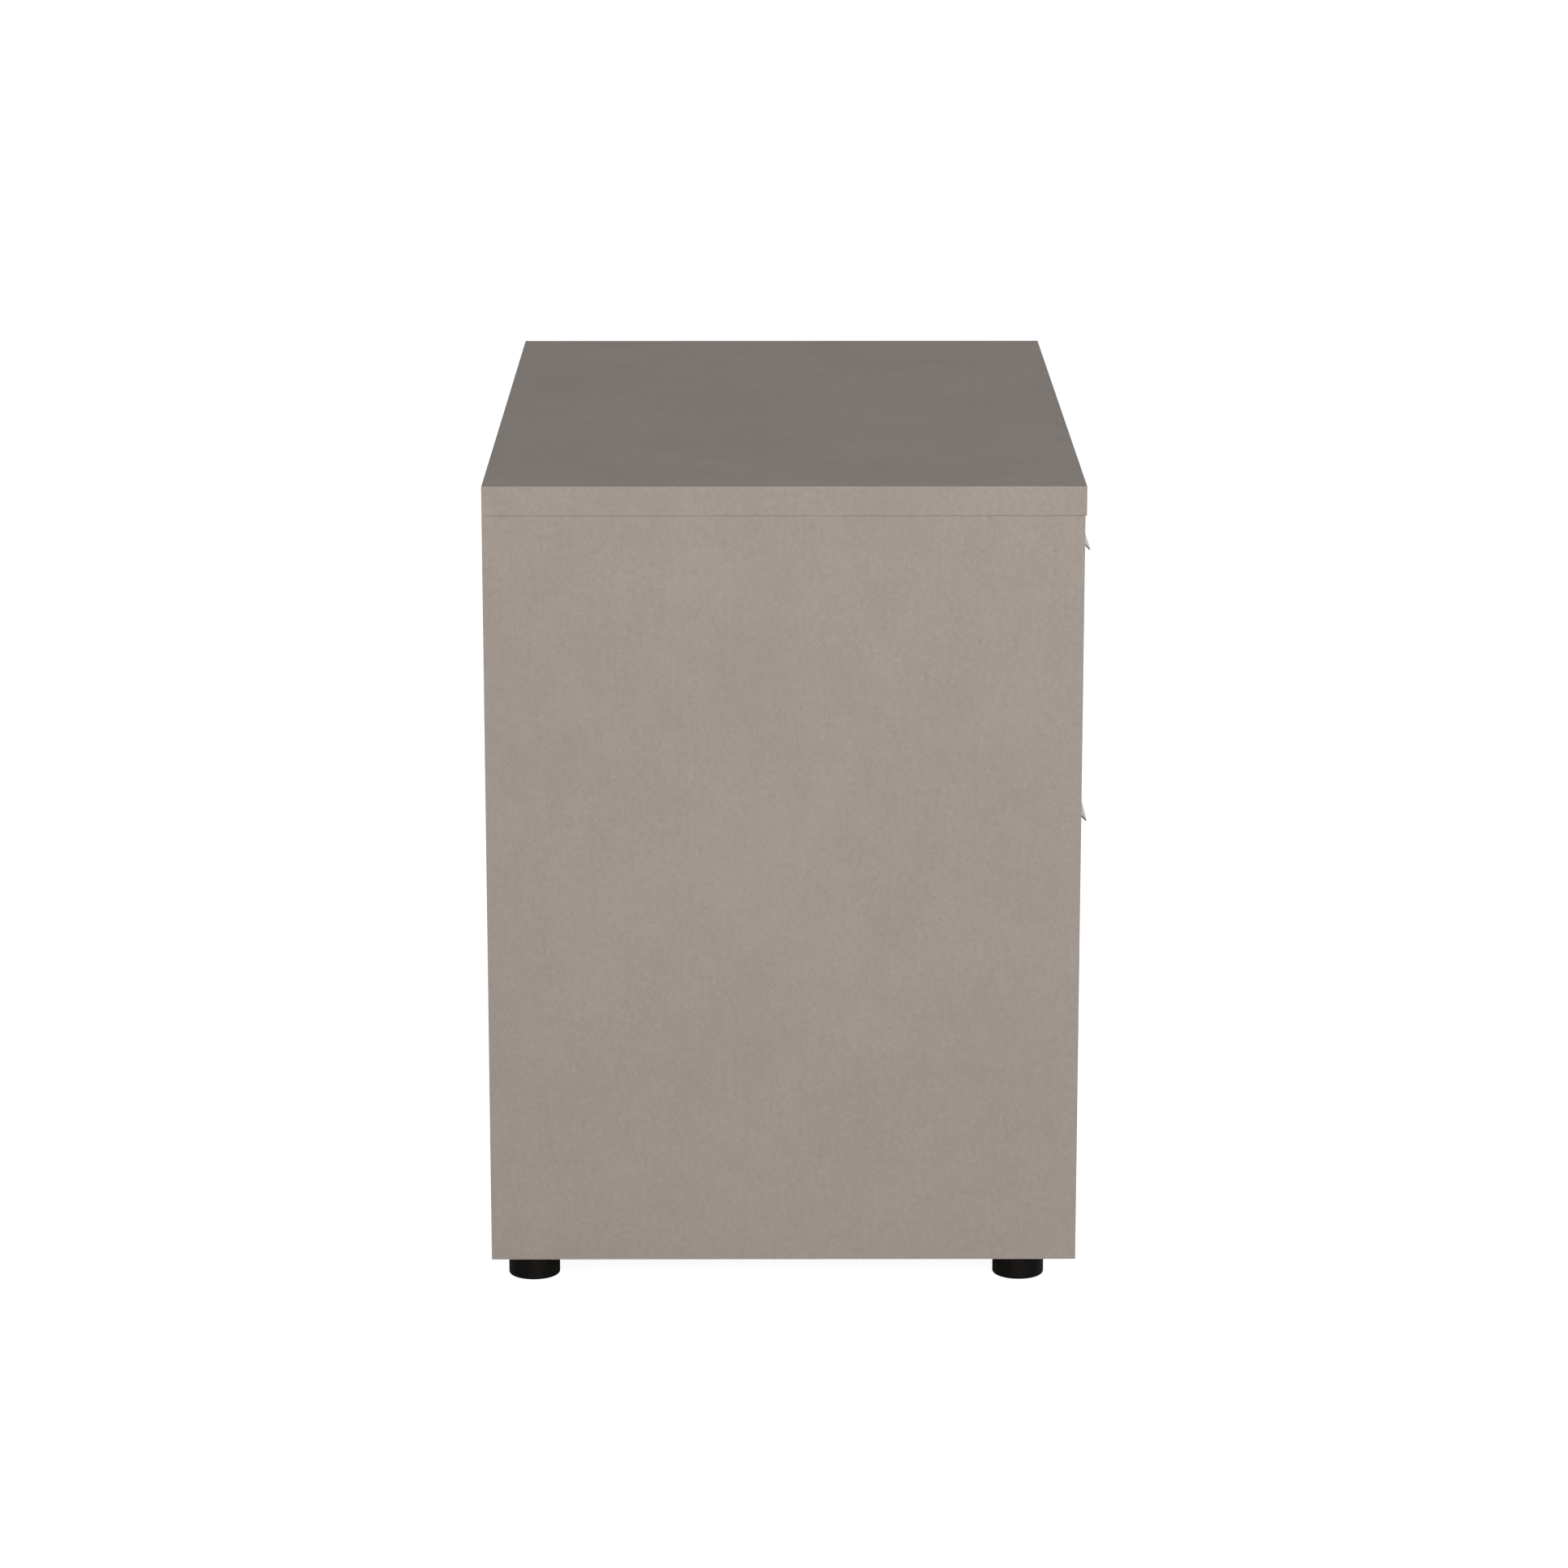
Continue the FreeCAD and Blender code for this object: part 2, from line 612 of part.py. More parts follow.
def bracket_screws(drawer):
    length = BRACKET_PLATE + SCREW_LENGTH - 1
    return group([
        screw(SCREW_HEAD_DIAMETER, SCREW_HEAD, SCREW_DIAMETER, length,
              (x, FRONT_BACK + BRACKET_PLATE, z), (0, -1, 0))
        for x, z in bracket_screw_places(drawer)
    ])


def file_rail_places():
    """Places along Y of the two rails that hanging files run on."""
    rear = BOX_END - FILE_RAIL_FROM_BACK
    return (rear - FILE_RAIL_SPACING, rear)


def file_rails(drawer):
    high = drawer["rim"] + HOOK_PLATE
    half = BOX_HALF - HEM_WIDTH - HOOK_PLATE
    rails = []
    for y in file_rail_places():
        rails.append(block(-half, half, y - FILE_RAIL_PLATE / 2, y + FILE_RAIL_PLATE / 2,
                           high - FILE_RAIL_DEPTH, high))
    return group(rails)


def file_rail_hooks(drawer):
    """Four hooks that hang the rails' ends over the box's sides."""
    over = drawer["rim"]
    inner = BOX_HALF - HEM_WIDTH
    hooks = []
    for y in file_rail_places():
        y0, y1 = y - HOOK_WIDTH / 2, y + HOOK_WIDTH / 2
        hook = joined([
            block(inner - HOOK_PLATE, inner, y0, y1, over - HOOK_DROP, over + HOOK_PLATE),
            block(inner, BOX_HALF, y0, y1, over, over + HOOK_PLATE),
            block(BOX_HALF, BOX_HALF + HOOK_PLATE, y0, y1, over - HOOK_DROP / 2, over + HOOK_PLATE),
        ])
        hooks.extend(both(hook))
    return group(hooks)


# Runners

def channel(web_start, web_end, flange_start, flange_end, half_height, runner):
    """A channel along Y, measured from the right side's inner face towards the drawer."""
    def part(start, end, z0, z1):
        return block(INSIDE - end, INSIDE - start, RUNNER_START, RUNNER_START + RUNNER_LENGTH, z0, z1)

    web = part(web_start, web_end, runner - half_height, runner + half_height)
    above = part(flange_start, flange_end, runner + half_height - CHANNEL, runner + half_height)
    below = part(flange_start, flange_end, runner - half_height, runner - half_height + CHANNEL)
    return joined([web, above, below])


def cabinet_member(drawer):
    """The channel screwed to the carcass side."""
    runner = drawer["runner"]
    member = channel(0, CHANNEL, CHANNEL, CABINET_FLANGE_END, CABINET_OUTER, runner)
    holes = [hole(RUNNER_SCREW_DIAMETER, (INSIDE + 1, y, z), (INSIDE - 2 * CHANNEL, y, z))
             for y, z in runner_screw_places(runner)]
    return member.cut(holes)


def middle_member(drawer):
    """The channel that runs between the other two."""
    web_end = MIDDLE_WEB_START + CHANNEL
    return channel(MIDDLE_WEB_START, web_end, web_end, MIDDLE_FLANGE_END, MIDDLE_OUTER, drawer["runner"])


def drawer_member(drawer):
    """The channel fixed to the drawer box."""
    web_start = RUNNER_THICKNESS - CHANNEL
    web_end = RUNNER_THICKNESS
    return channel(web_start, web_end, DRAWER_FLANGE_START, web_start, DRAWER_OUTER, drawer["runner"])


def ball_cages(drawer, outer_half, inner_half):
    """Cage strips and balls above and below, between two nested channels, on both sides."""
    x = INSIDE - BALL_FROM_SIDE
    offset = (outer_half + inner_half) / 2
    pitch = CAGE_LENGTH / BALLS_PER_ROW
    pieces = []
    for z in (drawer["runner"] - offset, drawer["runner"] + offset):
        strip = block(x - CAGE_WIDTH / 2, x + CAGE_WIDTH / 2,
                      RUNNER_MIDDLE - CAGE_LENGTH / 2, RUNNER_MIDDLE + CAGE_LENGTH / 2,
                      z - CAGE_PLATE / 2, z + CAGE_PLATE / 2)
        pockets = []
        balls = []
        for i in range(BALLS_PER_ROW):
            y = RUNNER_MIDDLE + (i - (BALLS_PER_ROW - 1) / 2) * pitch
            pocket_size = BALL_DIAMETER + 2 * CAGE_CLEARANCE
            pockets.append(rod(pocket_size, (x, y, z - CAGE_PLATE), (x, y, z + CAGE_PLATE)))
            balls.append(Part.makeSphere(BALL_DIAMETER / 2, Vector(x, y, z)))
        for piece in [strip.cut(pockets)] + balls:
            pieces.extend(both(piece))
    return group(pieces)


def outer_ball_cages(drawer):
    return ball_cages(drawer, CABINET_INNER, MIDDLE_OUTER)


def inner_ball_cages(drawer):
    return ball_cages(drawer, MIDDLE_INNER, DRAWER_OUTER)


def runner_screws():
    """The screws that hold the four cabinet members to the sides."""
    screws = []
    for drawer in DRAWERS.values():
        for y, z in runner_screw_places(drawer["runner"]):
            one = screw(RUNNER_SCREW_HEAD_DIAMETER, RUNNER_SCREW_HEAD, RUNNER_SCREW_DIAMETER,
                        CHANNEL + RUNNER_SCREW_LENGTH, (INSIDE - CHANNEL, y, z), (1, 0, 0))
            screws.extend(both(one))
    return group(screws)


# Whole cabinet

def carcass_nodes():
    right_side = side_panel()
    return {
        "top_panel": top_panel(),
        "top_edge_bands": top_edge_bands(),
        "side_panel_right": right_side,
        "side_panel_left": mirrored(right_side),
        "carcass_edge_bands": carcass_edge_bands(),
        "bottom_panel": bottom_panel(),
        "back_panel": back_panel(),
        "back_panel_screws": back_panel_screws(),
        "cam_discs": cam_discs(),
        "cam_bolts": cam_bolts(),
        "dowels": dowels(),
        "foot_inserts": foot_inserts(),
        "runner_screws": runner_screws(),
    }


def foot_nodes():
    nodes = {}
    corners = ("front_left", "front_right", "back_left", "back_right")
    for corner, (x, y) in zip(corners, foot_places()):
        nodes["foot_" + corner] = foot(x, y)
        nodes["foot_spindle_" + corner] = foot_spindle(x, y)
    return nodes


def drawer_nodes(name, drawer):
    singles = {
        "front": drawer_front,
        "front_edge_bands": front_edge_bands,
        "handle": handle,
        "handle_screws": handle_screws,
        "box_base": box_base,
        "box_back": box_back,
        "front_brackets": front_brackets,
        "bracket_screws": bracket_screws,
        "outer_ball_cages": outer_ball_cages,
        "inner_ball_cages": inner_ball_cages,
    }
    pairs = {
        "box_side": box_side,
        "runner_cabinet_member": cabinet_member,
        "runner_middle_member": middle_member,
        "runner_drawer_member": drawer_member,
    }
    nodes = {name + "_" + piece: draw(drawer) for piece, draw in singles.items()}
    for piece, draw in pairs.items():
        right = draw(drawer)
        nodes[name + "_" + piece + "_right"] = right
        nodes[name + "_" + piece + "_left"] = mirrored(right)
    return nodes


def main():
    nodes = carcass_nodes()
    nodes.update(foot_nodes())
    for name, drawer in DRAWERS.items():
        nodes.update(drawer_nodes(name, drawer))
    nodes["file_rails"] = file_rails(LOWER)
    nodes["file_rail_hooks"] = file_rail_hooks(LOWER)
    os.makedirs("parts", exist_ok=True)
    for name, shape in nodes.items():
        if not shape.isValid():
            raise ValueError(name + " isn't a valid shape")
        shape.exportStep("parts/" + name + ".step")
    print(len(nodes), "nodes")


main()
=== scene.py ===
"""Looks of the two-drawer filing cabinet: materials, finer steel pieces, floor, light and camera.

Metres, in the CAD frame: +Z up, the drawers open towards -Y, the camera stands off to -X.
"""
import json
import math

import bmesh
import bpy
from mathutils import Matrix, Vector


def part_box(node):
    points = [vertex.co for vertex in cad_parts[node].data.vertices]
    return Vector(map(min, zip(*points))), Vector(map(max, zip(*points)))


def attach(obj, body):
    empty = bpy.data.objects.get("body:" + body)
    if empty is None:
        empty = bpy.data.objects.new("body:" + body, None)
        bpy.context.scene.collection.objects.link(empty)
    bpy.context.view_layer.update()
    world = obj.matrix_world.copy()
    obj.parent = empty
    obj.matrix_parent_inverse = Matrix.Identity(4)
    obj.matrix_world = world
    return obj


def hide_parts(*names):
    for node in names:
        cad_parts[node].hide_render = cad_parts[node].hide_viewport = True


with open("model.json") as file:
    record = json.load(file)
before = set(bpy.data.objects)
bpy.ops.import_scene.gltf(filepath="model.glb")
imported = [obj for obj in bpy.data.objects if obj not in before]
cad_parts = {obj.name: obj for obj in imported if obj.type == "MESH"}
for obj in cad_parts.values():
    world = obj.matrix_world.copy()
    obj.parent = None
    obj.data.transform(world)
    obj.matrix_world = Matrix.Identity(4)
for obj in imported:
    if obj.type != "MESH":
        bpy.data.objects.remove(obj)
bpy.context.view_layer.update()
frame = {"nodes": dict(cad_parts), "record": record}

NODES = frame["nodes"]
MM = 0.001


# Shader building

class Shader:
    """A material under construction: a Principled shader and the nodes that feed it."""

    def __init__(self, name):
        self.material = bpy.data.materials.new(name)
        self.material.use_nodes = True
        self.tree = self.material.node_tree
        self.principled = self.tree.nodes["Principled BSDF"]
        self.place = self.add("ShaderNodeTexCoord").outputs["Object"]

    def add(self, kind, **settings):
        node = self.tree.nodes.new(kind)
        for key, value in settings.items():
            setattr(node, key, value)
        return node

    def feed(self, socket, value):
        """Links an output to a socket, or sets the socket's own value."""
        if isinstance(value, bpy.types.NodeSocket):
            self.tree.links.new(value, socket)
        else:
            socket.default_value = value

    def set(self, **values):
        """Sets or feeds the Principled shader's sockets, named with underscores for spaces."""
        for name, value in values.items():
            self.feed(self.principled.inputs[name.replace("_", " ")], value)

    def stretched(self, scale):
        """Object coordinates scaled by three factors."""
        mapping = self.add("ShaderNodeMapping")
        self.feed(mapping.inputs["Vector"], self.place)
        mapping.inputs["Scale"].default_value = scale
        return mapping.outputs["Vector"]

    def noise(self, size, detail=2.0, roughness=0.5, stretch=(1, 1, 1), distortion=0.0):
        """Noise whose features are about size metres across, from 0 to 1."""
        node = self.add("ShaderNodeTexNoise")
        self.feed(node.inputs["Vector"], self.stretched(stretch))
        node.inputs["Scale"].default_value = 1 / size
        node.inputs["Detail"].default_value = detail
        node.inputs["Roughness"].default_value = roughness
        node.inputs["Distortion"].default_value = distortion
        return node.outputs["Fac"]

    def math(self, operation, *values):
        node = self.add("ShaderNodeMath", operation=operation)
        for socket, value in zip(node.inputs, values):
            self.feed(socket, value)
        return node.outputs["Value"]

    def span(self, value, low, high, to_low=0.0, to_high=1.0):
        """value taken from low..high to to_low..to_high, clamped."""
        node = self.add("ShaderNodeMapRange")
        for name, number in (("Value", value), ("From Min", low), ("From Max", high),
                             ("To Min", to_low), ("To Max", to_high)):
            self.feed(node.inputs[name], number)
        return node.outputs["Result"]

    def mix(self, factor, first, second, blend="MIX"):
        node = self.add("ShaderNodeMix", data_type="RGBA", blend_type=blend)
        colours = [s for s in node.inputs if s.type == "RGBA"]
        self.feed(node.inputs["Factor"], factor)
        self.feed(colours[0], first)
        self.feed(colours[1], second)
        return [s for s in node.outputs if s.type == "RGBA"][0]

    def bump(self, height, strength, distance):
        node = self.add("ShaderNodeBump")
        node.inputs["Strength"].default_value = strength
        node.inputs["Distance"].default_value = distance
        self.feed(node.inputs["Height"], height)
        self.set(Normal=node.outputs["Normal"])


def shade(colour, factor):
    """A colour made lighter or darker, with alpha 1."""
    return tuple(channel * factor for channel in colour[:3]) + (1.0,)


# Materials

CONCRETE = (0.388, 0.338, 0.306)
CONCRETE_TINT = (0.9985, 1.0, 0.991, 1.0)
END_SHADE_DEPTH = 0.02 * MM  # how far in from a handle's end the painted shade on its end face reaches


def concrete_decor():
    """Matte decor paper: rough-edged clouds, a clumpy fleck, fine grain and faint upright streaks."""
    s = Shader("concrete_decor")
    speck = s.noise(0.0018, detail=4.0, roughness=0.78)
    fleck = s.noise(0.0046, detail=5.0, roughness=0.75, stretch=(1, 1, 0.8))
    jitter = s.math("SUBTRACT", fleck, 0.5)
    clouds = s.noise(0.11, detail=9.0, roughness=0.68, stretch=(1, 1, 0.85))
    clouds = s.span(s.math("MULTIPLY_ADD", jitter, 0.6, clouds), 0.41, 0.59)
    patches = s.noise(0.030, detail=8.0, roughness=0.72)
    patches = s.span(s.math("MULTIPLY_ADD", jitter, 0.6, patches), 0.40, 0.60)
    streaks = s.span(s.noise(0.006, detail=5.0, roughness=0.7, stretch=(1, 1, 0.12)), 0.3, 0.7)
    grain = s.span(speck, 0.3, 0.7)
    clumps = s.span(fleck, 0.36, 0.64)
    total = s.math("MULTIPLY", clouds, 0.15)
    for part, weight in ((patches, 0.14), (streaks, 0.11), (clumps, 0.10), (grain, 0.50)):
        total = s.math("MULTIPLY_ADD", part, weight, total)
    colour = s.mix(total, shade(CONCRETE, 0.870), shade(CONCRETE, 1.140))
    tint = s.span(s.noise(0.16, detail=7.0, roughness=0.65), 0.42, 0.58)
    colour = s.mix(tint, colour, CONCRETE_TINT, blend="MULTIPLY")
    dark_flecks = s.span(s.noise(0.0030, detail=1.0), 0.70, 0.77, 0.0, 0.40)
    colour = s.mix(dark_flecks, colour, shade(CONCRETE, 0.72))
    light_flecks = s.span(s.noise(0.0024, detail=1.0, stretch=(1, 1.3, 1)), 0.70, 0.78, 0.0, 0.40)
    colour = s.mix(light_flecks, colour, shade(CONCRETE, 1.30))
    s.set(Base_Color=colour)
    s.set(Roughness=s.span(total, 0.2, 0.8, 0.60, 0.50))
    s.set(Specular_IOR_Level=0.35)
    s.bump(s.math("MULTIPLY_ADD", streaks, 0.3, grain), 0.10, 0.08 * MM)
    return s.material


def black_plastic():
    """Fine-grained moulded plastic."""
    s = Shader("black_plastic")
    mottle = s.noise(0.009, detail=3.0)
    grain = s.noise(0.0006, detail=2.0, roughness=0.6)
    dark, light = (0.0042, 0.0038, 0.0034, 1), (0.0064, 0.0058, 0.0052, 1)
    s.set(Base_Color=s.mix(mottle, dark, light))
    s.set(Roughness=s.span(mottle, 0.3, 0.7, 0.38, 0.52))
    s.set(Specular_IOR_Level=0.15)
    s.bump(grain, 0.25, 0.05 * MM)
    return s.material


def metal(name, dark, light, roughness, stretch=(1, 1, 1)):
    """Bare metal with a grain drawn out along the axes whose stretch is below 1."""
    s = Shader(name)
    grain = s.noise(0.0015, detail=4.0, roughness=0.65, stretch=stretch)
    cloud = s.noise(0.03, detail=3.0)
    tone = s.math("MULTIPLY_ADD", grain, 0.7, s.math("MULTIPLY", cloud, 0.3))
    s.set(Base_Color=s.mix(s.span(tone, 0.3, 0.7), dark + (1.0,), light + (1.0,)))
    s.set(Metallic=1.0)
    s.set(Roughness=s.span(tone, 0.3, 0.7, roughness - 0.05, roughness + 0.07))
    s.bump(grain, 0.2, 0.04 * MM)
    return s.material


def handle_metal():
    """Bright satin plate, brushed along the handle, with painted shade colouring its end faces
    near-black.
    """
    half_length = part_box("upper_handle")[1].x
    s = Shader("brushed_steel")
    grain = s.noise(0.0004, detail=3.0, roughness=0.6, stretch=(0.04, 1, 1))
    cloud = s.noise(0.025, detail=3.0)
    tone = s.math("MULTIPLY_ADD", grain, 0.6, s.math("MULTIPLY", cloud, 0.4))
    # the third colour is painted shade: near-black for the handle's end faces
    dark, light, painted_end_shade = (0.84, 0.84, 0.825, 1), (0.89, 0.89, 0.875, 1), (0.17, 0.175, 0.17, 1)
    plate = s.mix(s.span(tone, 0.3, 0.7), dark, light)
    parts = s.add("ShaderNodeSeparateXYZ")
    s.feed(parts.inputs[0], s.place)
    from_middle = s.math("ABSOLUTE", parts.outputs["X"])
    # mask of the end faces, which take the painted shade
    ends = s.math("GREATER_THAN", from_middle, half_length - END_SHADE_DEPTH)
    s.set(Base_Color=s.mix(ends, plate, painted_end_shade))
    s.set(Metallic=1.0)
    s.set(Roughness=s.span(tone, 0.3, 0.7, 0.26, 0.31))
    s.bump(grain, 0.10, 0.01 * MM)
    return s.material


def powder_coat(name, colour):
    """Sprayed and baked coating on sheet steel, with a faint orange-peel."""
    s = Shader(name)
    peel = s.noise(0.0018, detail=2.0, roughness=0.5)
    mottle = s.noise(0.05, detail=3.0, distortion=0.3)
    s.set(Base_Color=s.mix(s.span(mottle, 0.3, 0.7), shade(colour, 0.97), shade(colour, 1.03)))
    s.set(Roughness=s.span(mottle, 0.3, 0.7, 0.36, 0.46))
    s.bump(peel, 0.25, 0.06 * MM)
    return s.material


def beech():
    """Pale dowel wood with its grain along each dowel."""
    s = Shader("beech")
    grain = s.noise(0.0012, detail=4.0, stretch=(0.2, 1, 0.2))
    s.set(Base_Color=s.mix(grain, (0.52, 0.36, 0.21, 1), (0.68, 0.51, 0.33, 1)))
    s.set(Roughness=0.6)
    s.bump(grain, 0.2, 0.05 * MM)
    return s.material


def finishes():
    """The material of every slot in the record."""
    decor = concrete_decor()
    along_runner = (1, 0.08, 1)
    return {
        "concrete_board": decor,
        "edge_band": decor,
        "back_board": decor,
        "beech": beech(),
        "black_plastic": black_plastic(),
        "brushed_steel": handle_metal(),
        "drawer_steel": powder_coat("drawer_steel", (0.46, 0.46, 0.45)),
        "runner_steel": metal("runner_steel", (0.55, 0.56, 0.57), (0.68, 0.69, 0.70), 0.30,
                              along_runner),
        "zinc_steel": metal("zinc_steel", (0.58, 0.59, 0.61), (0.72, 0.73, 0.74), 0.30),
        "zinc_casting": metal("zinc_casting", (0.36, 0.37, 0.38), (0.45, 0.46, 0.47), 0.48),
    }


def dress(finish):
    """Gives every CAD node the material of its slot."""
    for part in frame["record"]["subparts"]:
        mesh = NODES[part["node"]].data
        mesh.materials.clear()
        mesh.materials.append(finish[part["material_slot"]])


# Finer pieces that stand for plain CAD nodes

SHEET = 1.2 * MM  # steel of the drawer boxes and runners
BEAD_HALF = 7.0 * MM  # half the width of a pressed bead
BEAD_DEPTH = 1.6 * MM
BEAD_STEPS = 5
HEM_WIDTH = 4.0 * MM
HEM_HEIGHT = 8.0 * MM
SIDE_BEAD_MARGIN = 42 * MM  # from a sheet's ends to where its beads start
BACK_BEAD_MARGIN = 30 * MM
BASE_RIBS = 6
SIDE_BEADS = {"upper": (0.56, 0.78), "lower": (0.44, 0.62, 0.80)}  # shares of the sheet's height
BACK_BEADS = {"upper": (0.35, 0.65), "lower": (0.30, 0.52, 0.74)}
ARC_STEP = math.radians(12)
LEAST_MITRE = 0.5  # cosine past which a strip's sharp corners aren't drawn out further


def body_of(node):
    """The CAD body that a node rides on."""
    bodies = frame["record"]["behaviour"]["bodies"]
    return next(body for body, members in bodies.items() if node in members)


def applied(piece):
    """The piece with its modifiers made part of its mesh."""
    bpy.context.view_layer.update()
    shaped = piece.evaluated_get(bpy.context.evaluated_depsgraph_get())
    mesh = bpy.data.meshes.new_from_object(shaped)
    piece.modifiers.clear()
    piece.data = mesh
    return piece


def piece_from(name, bm):
    """A new object in the scene from a bmesh, its normals turned outwards."""
    bmesh.ops.recalc_face_normals(bm, faces=bm.faces)
    mesh = bpy.data.meshes.new(name)
    bm.to_mesh(mesh)
    bm.free()
    piece = bpy.data.objects.new(name, mesh)
    bpy.context.scene.collection.objects.link(piece)
    return piece


def smoothed(piece, degrees=35):
    """Smooth shading except over edges sharper than the angle, with the flats kept flat."""
    piece.data.shade_smooth()
    piece.data.set_sharp_from_angle(angle=math.radians(degrees))
    weighted = piece.modifiers.new("flats", "WEIGHTED_NORMAL")
    weighted.keep_sharp = True
    return applied(piece)


def stands_for(piece, node, material):
    """The piece takes over a CAD node's place, finish and motion."""
    piece.data.materials.clear()
    piece.data.materials.append(material)
    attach(piece, body_of(node))
    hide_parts(node)


def cut(piece, cutter):
    """Takes the cutter's shape out of the piece, and the cutter out of the scene."""
    tool = piece.modifiers.new("cut", "BOOLEAN")
    tool.operation = "DIFFERENCE"
    tool.solver = "EXACT"
    tool.object = cutter
    applied(piece)
    bpy.data.objects.remove(cutter)
    return piece


def arc(centre, radius, start, end):
    """Points along an arc, by its angles in degrees from +u towards +w."""
    first, last = math.radians(start), math.radians(end)
    steps = max(2, math.ceil(abs(last - first) / ARC_STEP))
    angles = [first + (last - first) * i / steps for i in range(steps + 1)]
    return [(centre[0] + radius * math.cos(a), centre[1] + radius * math.sin(a)) for a in angles]


def strip_outline(line, thickness):
    """The closed outline of a strip whose middle follows the line."""
    points = [Vector(p) for p in line]
    sides = ([], [])
    for i, point in enumerate(points):
        before = (point - points[max(i - 1, 0)]).normalized()
        after = (points[min(i + 1, len(points) - 1)] - point).normalized()
        along = (before + after).normalized()
        across = Vector((-along.y, along.x))
        stretch = 1 / max(LEAST_MITRE, along.dot(after if after.length else before))
        sides[0].append(point + across * stretch * thickness / 2)
        sides[1].append(point - across * stretch * thickness / 2)
    return sides[0] + sides[1][::-1]


def prism(name, outline, place, start, end):
    """A solid between two copies of an outline; place(u, w, s) gives the point at distance s."""
    bm = bmesh.new()
    first = [bm.verts.new(place(u, w, start)) for u, w in outline]
    last = [bm.verts.new(place(u, w, end)) for u, w in outline]
    bm.faces.new(first)
    bm.faces.new(last[::-1])
    for i in range(len(outline)):
        j = (i + 1) % len(outline)
        bm.faces.new((first[i], first[j], last[j], last[i]))
    return piece_from(name, bm)


def turned(name, profile, segments=24):
    """A solid of revolution about Z from (radius, height) points that start and end on the axis."""
    bm = bmesh.new()
    rings = []
    for radius, height in profile[1:-1]:
        angles = [2 * math.pi * i / segments for i in range(segments)]
        rings.append([bm.verts.new((radius * math.cos(a), radius * math.sin(a), height))
                      for a in angles])
    for lower, upper in zip(rings, rings[1:]):
        for i in range(segments):
            j = (i + 1) % segments
            bm.faces.new((lower[i], lower[j], upper[j], upper[i]))
    for ring, height in ((rings[0], profile[0][1]), (rings[-1], profile[-1][1])):
        tip = bm.verts.new((0, 0, height))
        for i in range(segments):
            bm.faces.new((ring[i], ring[(i + 1) % segments], tip))
    return piece_from(name, bm)


# Screws, read from the CAD screws and drawn again with finer heads and shanks

SCREW_NODES = ("upper_handle_screws", "lower_handle_screws", "upper_bracket_screws",
               "lower_bracket_screws", "back_panel_screws", "runner_screws")
TURN_BETWEEN_SCREWS = math.radians(37)  # screws never stop at the same angle
SCREW_CREASE = 40  # degrees, above which an edge stays sharp
SAME_PLACE = 0.001 * MM  # corners nearer than this are one
AT_RIM = 0.999  # of the head's radius
BELOW_SEAT = 0.1 * MM
SHANK_END = 0.95  # of the screw's length
DOME_ANGLES = (18, 36, 54, 72, 84)
DOME_DROP = 0.62  # of the head's height
RIM_DROP = 0.66  # of the head's height, to the start of its upright rim
THREAD_PITCH = 0.55  # of the shank's radius
THREAD_ROOT = 0.78  # of the shank's radius
THREAD_FLANK = 0.3  # of the pitch
POINT_LENGTH = 2.2  # shank radii
RECESS_DEPTH = 0.75  # of the head's height
RECESS_LEAST = 0.5  # of the shank's radius, where the head is flat
RECESS_TAPER = 0.55  # of its size, left at its bottom
RECESS_REACH = 0.56  # of the head's radius
RECESS_WIDTH = 0.2  # of the head's radius
RECESS_START = 0.2 * MM  # above the head


def islands(node):
    """The separate solids of a CAD node, each as a list of vertex places."""
    bm = bmesh.new()
    bm.from_mesh(NODES[node].data)
    bmesh.ops.remove_doubles(bm, verts=bm.verts, dist=SAME_PLACE)
    waiting = set(bm.verts)
    found = []
    while waiting:
        stack = [waiting.pop()]
        members = []
        while stack:
            vertex = stack.pop()
            members.append(vertex.co.copy())
            for edge in vertex.link_edges:
                other = edge.other_vert(vertex)
                if other in waiting:
                    waiting.remove(other)
                    stack.append(other)
        found.append(members)
    bm.free()
    return sorted(found, key=lambda places: tuple(round(c, 5) for c in min(places, key=tuple)))


def screw_facts(places):
    """Where a CAD screw's head ends, the way out of it, its radii, its head's height and its length."""
    low = Vector([min(p[i] for p in places) for i in range(3)])
    high = Vector([max(p[i] for p in places) for i in range(3)])
    long_way = max(range(3), key=lambda i: high[i] - low[i])
    middle = (low + high) / 2
    axis = Vector([float(i == long_way) for i in range(3)])

    def radius(point):
        offset = point - middle
        return (offset - axis * offset.dot(axis)).length

    head_radius = max(radius(p) for p in places)
    head = [p for p in places if radius(p) > AT_RIM * head_radius]
    out = axis if sum(p[long_way] for p in head) / len(head) > middle[long_way] else -axis
    length = high[long_way] - low[long_way]
    end = middle + out * length / 2
    seat_drop = max((end - p).dot(out) for p in head)
    first, last = seat_drop + BELOW_SEAT, SHANK_END * length
    shank = [p for p in places if first < (end - p).dot(out) < last]
    shank_radius = max((radius(p) for p in shank), default=head_radius / 2)
    return end, out, head_radius, shank_radius, seat_drop, length


def cross_outline(reach, width):
    """A plus sign's twelve corners."""
    arm = width / 2
    quarter = [(reach, -arm), (reach, arm), (arm, arm)]
    corners = []
    for turn in range(4):
        cosine, sine = (1, 0, -1, 0)[turn], (0, 1, 0, -1)[turn]
        corners += [(cosine * u - sine * w, sine * u + cosine * w) for u, w in quarter]
    return corners


